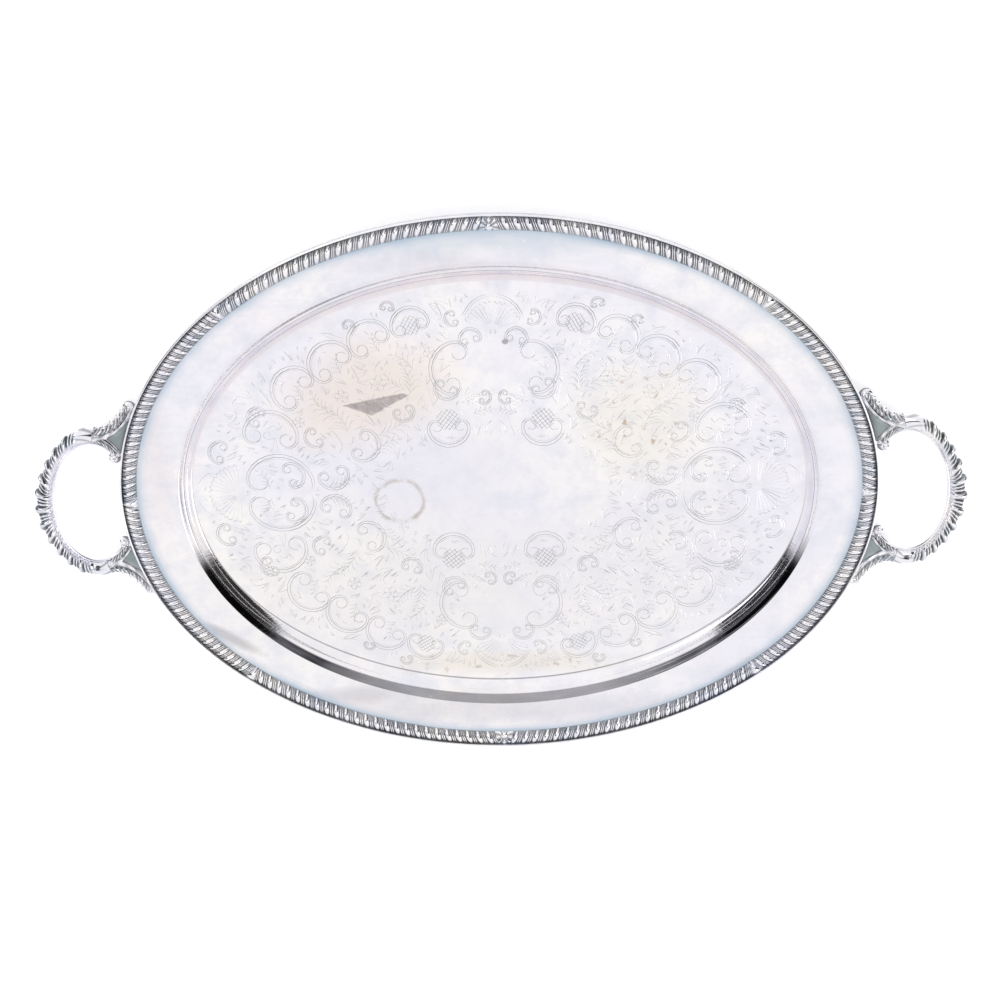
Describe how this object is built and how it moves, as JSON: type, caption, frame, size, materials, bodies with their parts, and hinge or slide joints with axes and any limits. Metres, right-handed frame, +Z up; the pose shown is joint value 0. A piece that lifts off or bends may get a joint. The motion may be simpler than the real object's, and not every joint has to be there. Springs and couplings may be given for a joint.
{
  "type": "serving tray",
  "caption": "Oval silver-plated serving tray with a sunk engraved well, a plain rim, a gadroon border and two cast loop handles.",
  "frame": {"origin": "middle of the underside of the well, which is the middle of the bottom of the object's box", "axes": "+Z up out of the well, +X along the length towards one handle, +Y across the width"},
  "size_m": [0.7104, 0.438, 0.0304],
  "materials": {
    "plated_sheet": "polished silver plate, lightly tarnished and scratched",
    "plated_wire": "polished silver plate",
    "plated_border": "silver plate with dark tarnish between the lobes",
    "plated_casting": "cast and silver-plated, dark in the recesses",
    "tarnished_ground": "matt grey-green tarnish"
  },
  "bodies": {
    "root": {"tray_body": "plated_sheet", "edge_band": "plated_wire", "gadroon_right_back_end": "plated_border", "gadroon_right_back_side": "plated_border", "gadroon_left_back_side": "plated_border", "gadroon_left_back_end": "plated_border", "gadroon_left_front_end": "plated_border", "gadroon_left_front_side": "plated_border", "gadroon_right_front_side": "plated_border", "gadroon_right_front_end": "plated_border", "stop_right": "plated_border", "leaf_right_back": "plated_border", "shell_back": "plated_border", "leaf_left_back": "plated_border", "stop_left": "plated_border", "leaf_left_front": "plated_border", "shell_front": "plated_border", "leaf_right_front": "plated_border", "handle_bow_right": "plated_casting", "handle_bow_left": "plated_casting", "handle_wire_right": "plated_wire", "handle_wire_left": "plated_wire", "handle_foot_right_back": "plated_casting", "handle_foot_right_front": "plated_casting", "handle_foot_left_back": "plated_casting", "handle_foot_left_front": "plated_casting", "handle_web_right_back": "tarnished_ground", "handle_web_right_front": "tarnished_ground", "handle_web_left_back": "tarnished_ground", "handle_web_left_front": "tarnished_ground"}
  },
  "joints": []
}
